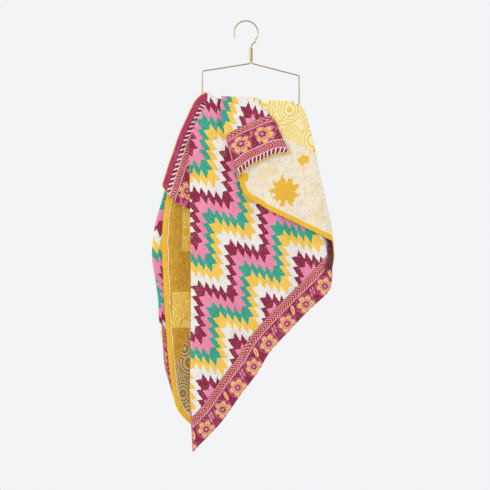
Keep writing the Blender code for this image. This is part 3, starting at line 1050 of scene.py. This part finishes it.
def reverse_material():
    """The reverse side, with the bright hem and, where the cloth hangs, a seam line beside it."""
    cloth = Finish("kantha_reverse")
    x, d, patch = cloth.field("back_place")
    _, _, hem = cloth.field("print_place")
    where = cloth.vector(x, d)
    made = cloth.mix(
        patch > 0.5, hanging_reverse_colour(cloth, x, d), turned_back_colour(cloth, where, x, d),
    )
    inward = hem + (cloth.noise(where, scale=0.02, detail=1.0) - 0.5) * HEM_WAVER
    made = cloth.mix(inward < HEM_WIDTH, made, BRIGHT_MUSTARD)
    seam = ((inward - SEAM_AT).size() < SEAM_HALF_WIDTH) * (patch < 0.5)
    made = cloth.mix(seam, made, CREAM)
    thread, pillow = running_stitch(x, d, *REVERSE_STITCH)
    made = cloth.mix(thread * REVERSE_THREAD_SHARE, made, WHITE)
    cloth.shade("Base Color", made)
    quilted_bump(cloth, where, x, d, thread, pillow)
    cloth.shade("Roughness", 0.92)
    cloth.shade("Sheen Weight", 0.05)
    return cloth.material


def brass_material():
    """Satin wire with uneven tarnish and fine scratches; its noise is scaled to metres."""
    brass = Finish("brass_wire")
    where = brass.node("TexCoord").outputs["Object"]
    tarnish = brass.noise(where, scale=60.0, detail=3.0)
    brass.shade("Base Color", brass.mix(tarnish * TARNISH_SHARE, BRASS, TARNISH))
    brass.shade("Metallic", 1.0)
    brass.shade("Roughness", tarnish * 0.2 + 0.24)
    brass.bump(brass.noise(where, scale=900.0, detail=1.0), distance=0.0001, strength=0.2)
    return brass.material


def add(name, data):
    """A new object in the scene."""
    made = bpy.data.objects.new(name, data)
    bpy.context.scene.collection.objects.link(made)
    return made


def quilt_cloth():
    """The quilt's piece, in the place of its solid."""
    points, fields = sheet_grid()
    mesh = cloth_mesh("quilt_cloth", points, fields)
    mesh.materials.append(print_material())
    mesh.materials.append(reverse_material())
    made = add("quilt_cloth", mesh)
    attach(made, "root")
    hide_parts("quilt")
    return made


def brass_hanger(finish):
    """Gives the hanger's solids, which keep their shape, their brass."""
    for node in ("hanger_frame", "hanger_hook", "hanger_sleeve"):
        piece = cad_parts[node]
        for socket in piece.material_slots:
            socket.material = finish
        piece.data.shade_smooth()


def stage_floor():
    """A plain pale disc well below the quilt."""
    bpy.ops.mesh.primitive_cylinder_add(
        vertices=FLOOR_SIDES, radius=FLOOR_RADIUS, depth=FLOOR_THICKNESS,
    )
    floor = bpy.context.object
    floor.name = "stage_floor"
    floor.location = (0, 0, -FLOOR_DROP - FLOOR_THICKNESS / 2)
    pale = Finish("pale_floor")
    pale.shade("Base Color", FLOOR_SHADE)
    pale.shade("Roughness", 0.8)
    floor.data.materials.append(pale.material)


def lights():
    """Soft area lights aimed at the middle of the view, and a pale world."""
    world = bpy.data.worlds.new("pale_room")
    world.use_nodes = True
    background = world.node_tree.nodes["Background"]
    background.inputs["Color"].default_value = ROOM_SHADE
    background.inputs["Strength"].default_value = ROOM_STRENGTH
    bpy.context.scene.world = world
    bpy.context.scene.view_settings.view_transform = "Standard"
    aim = Vector((0, 0, -VIEW_CENTRE[1] * MM))
    for name, stands, size, power in LIGHTS:
        data = bpy.data.lights.new(name, "AREA")
        data.shape = "SQUARE"
        data.size = size
        data.energy = power
        made = add(name, data)
        made.location = stands
        made.rotation_euler = (aim - Vector(stands)).to_track_quat("-Z", "Y").to_euler()


def camera():
    """Straight on, level with the middle of the photograph's frame."""
    data = bpy.data.cameras.new("camera")
    data.sensor_width = SENSOR
    data.lens = SENSOR * CAMERA_DISTANCE / VIEW_WIDTH
    made = add("camera", data)
    made.location = (VIEW_CENTRE[0] * MM, -CAMERA_DISTANCE, -VIEW_CENTRE[1] * MM)
    made.rotation_euler = (math.pi / 2, 0, 0)
    bpy.context.scene.camera = made


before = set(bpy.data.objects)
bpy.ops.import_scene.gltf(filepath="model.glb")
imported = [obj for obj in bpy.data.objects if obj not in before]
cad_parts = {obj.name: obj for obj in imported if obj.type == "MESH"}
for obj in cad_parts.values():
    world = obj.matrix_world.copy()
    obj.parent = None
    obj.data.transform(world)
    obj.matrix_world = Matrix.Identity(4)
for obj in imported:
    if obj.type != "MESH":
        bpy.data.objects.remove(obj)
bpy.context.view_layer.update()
camera()
lights()
stage_floor()
quilt = quilt_cloth()
brass_hanger(brass_material())
